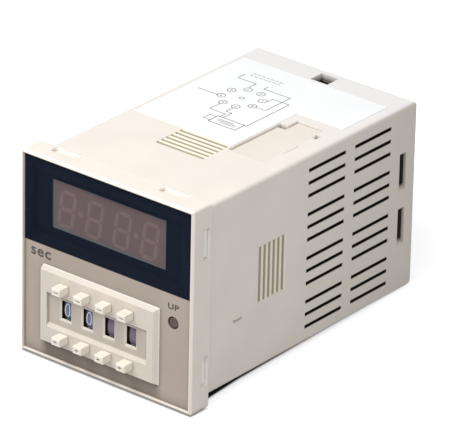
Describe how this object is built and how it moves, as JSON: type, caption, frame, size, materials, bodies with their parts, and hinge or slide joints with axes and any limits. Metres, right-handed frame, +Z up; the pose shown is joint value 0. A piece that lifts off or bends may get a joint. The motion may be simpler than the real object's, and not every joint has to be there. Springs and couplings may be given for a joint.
{
  "type": "digital timer",
  "caption": "Square panel timer with a smoked LED display, push-button thumbwheel setting switch and a vented case that plugs into a round pin socket.",
  "frame": {"origin": "centre of the bezel's rear face, in the plane of the panel it rests on", "axes": "+X to the right seen from the front, +Y back through the panel along the case, +Z up"},
  "size_m": [0.048, 0.0973, 0.048],
  "materials": {
    "ivory_plastic": "fine satin moulding",
    "taupe_panel": "matt printed sheet",
    "smoked_filter": "smooth, smoked, see-through",
    "black_film": "matt",
    "label_paper": "satin",
    "circuit_board": "solder mask",
    "display_face": "matt print",
    "unlit_segment": "cast resin",
    "lamp_resin": "cast resin",
    "bare_steel": "drawn wire",
    "core_steel": "varnished laminations",
    "copper_winding": "enamelled copper wire",
    "relay_cover": "satin",
    "black_moulding": "satin",
    "can_metal": "drawn can",
    "capacitor_sleeve": "sleeved can",
    "film_resin": "dipped resin",
    "pin_metal": "nickel plated",
    "button_plastic": "satin",
    "wheel_plastic": "satin"
  },
  "bodies": {
    "case": {"front_bezel": "ivory_plastic", "front_panel": "taupe_panel", "display_filter": "smoked_filter", "display_mask": "black_film", "main_case": "ivory_plastic", "top_cover": "ivory_plastic", "top_label": "label_paper", "rear_base": "ivory_plastic", "key_post": "ivory_plastic", "base_board": "circuit_board", "display_board": "circuit_board", "main_board": "circuit_board", "power_board": "circuit_board", "display_body": "display_face", "display_segments": "unlit_segment", "up_lamp": "lamp_resin", "switch_housing": "ivory_plastic", "switch_board": "circuit_board", "wheel_axle": "bare_steel", "transformer_core": "core_steel", "transformer_coil": "copper_winding", "relay": "relay_cover", "logic_chip": "black_moulding", "crystal": "can_metal", "supply_capacitor": "capacitor_sleeve", "small_capacitor": "capacitor_sleeve", "film_capacitor": "film_resin", "board_header": "black_moulding", "plug_pin_1": "pin_metal", "plug_pin_2": "pin_metal", "plug_pin_3": "pin_metal", "plug_pin_4": "pin_metal", "plug_pin_5": "pin_metal", "plug_pin_6": "pin_metal", "plug_pin_7": "pin_metal", "plug_pin_8": "pin_metal", "minus_spring_1": "bare_steel", "minus_spring_2": "bare_steel", "minus_spring_3": "bare_steel", "minus_spring_4": "bare_steel", "plus_spring_1": "bare_steel", "plus_spring_2": "bare_steel", "plus_spring_3": "bare_steel", "plus_spring_4": "bare_steel"},
    "minus_body_1": {"minus_button_1": "button_plastic"},
    "plus_body_1": {"plus_button_1": "button_plastic"},
    "wheel_body_1": {"digit_wheel_1": "wheel_plastic"},
    "minus_body_2": {"minus_button_2": "button_plastic"},
    "plus_body_2": {"plus_button_2": "button_plastic"},
    "wheel_body_2": {"digit_wheel_2": "wheel_plastic"},
    "minus_body_3": {"minus_button_3": "button_plastic"},
    "plus_body_3": {"plus_button_3": "button_plastic"},
    "wheel_body_3": {"digit_wheel_3": "wheel_plastic"},
    "minus_body_4": {"minus_button_4": "button_plastic"},
    "plus_body_4": {"plus_button_4": "button_plastic"},
    "wheel_body_4": {"digit_wheel_4": "wheel_plastic"}
  },
  "joints": [
    {"name": "minus_press_1", "type": "slide", "parent": "case", "child": "minus_body_1", "axis": [0, 1, 0], "range_m": [0, 0.0016], "stiffness_N_per_m": 250, "springref_m": -0.002, "deforming": ["minus_spring_1"]},
    {"name": "plus_press_1", "type": "slide", "parent": "case", "child": "plus_body_1", "axis": [0, 1, 0], "range_m": [0, 0.0016], "stiffness_N_per_m": 250, "springref_m": -0.002, "deforming": ["plus_spring_1"]},
    {"name": "minus_press_2", "type": "slide", "parent": "case", "child": "minus_body_2", "axis": [0, 1, 0], "range_m": [0, 0.0016], "stiffness_N_per_m": 250, "springref_m": -0.002, "deforming": ["minus_spring_2"]},
    {"name": "plus_press_2", "type": "slide", "parent": "case", "child": "plus_body_2", "axis": [0, 1, 0], "range_m": [0, 0.0016], "stiffness_N_per_m": 250, "springref_m": -0.002, "deforming": ["plus_spring_2"]},
    {"name": "minus_press_3", "type": "slide", "parent": "case", "child": "minus_body_3", "axis": [0, 1, 0], "range_m": [0, 0.0016], "stiffness_N_per_m": 250, "springref_m": -0.002, "deforming": ["minus_spring_3"]},
    {"name": "plus_press_3", "type": "slide", "parent": "case", "child": "plus_body_3", "axis": [0, 1, 0], "range_m": [0, 0.0016], "stiffness_N_per_m": 250, "springref_m": -0.002, "deforming": ["plus_spring_3"]},
    {"name": "minus_press_4", "type": "slide", "parent": "case", "child": "minus_body_4", "axis": [0, 1, 0], "range_m": [0, 0.0016], "stiffness_N_per_m": 250, "springref_m": -0.002, "deforming": ["minus_spring_4"]},
    {"name": "plus_press_4", "type": "slide", "parent": "case", "child": "plus_body_4", "axis": [0, 1, 0], "range_m": [0, 0.0016], "stiffness_N_per_m": 250, "springref_m": -0.002, "deforming": ["plus_spring_4"]},
    {"name": "wheel_turn_1", "type": "hinge", "parent": "case", "child": "wheel_body_1", "pos_m": [-0.0112, 0.001, -0.0111], "axis": [1, 0, 0], "continuous": true},
    {"name": "wheel_turn_2", "type": "hinge", "parent": "case", "child": "wheel_body_2", "pos_m": [-0.00513, 0.001, -0.0111], "axis": [1, 0, 0], "continuous": true},
    {"name": "wheel_turn_3", "type": "hinge", "parent": "case", "child": "wheel_body_3", "pos_m": [0.00093, 0.001, -0.0111], "axis": [1, 0, 0], "continuous": true},
    {"name": "wheel_turn_4", "type": "hinge", "parent": "case", "child": "wheel_body_4", "pos_m": [0.007, 0.001, -0.0111], "axis": [1, 0, 0], "continuous": true}
  ]
}
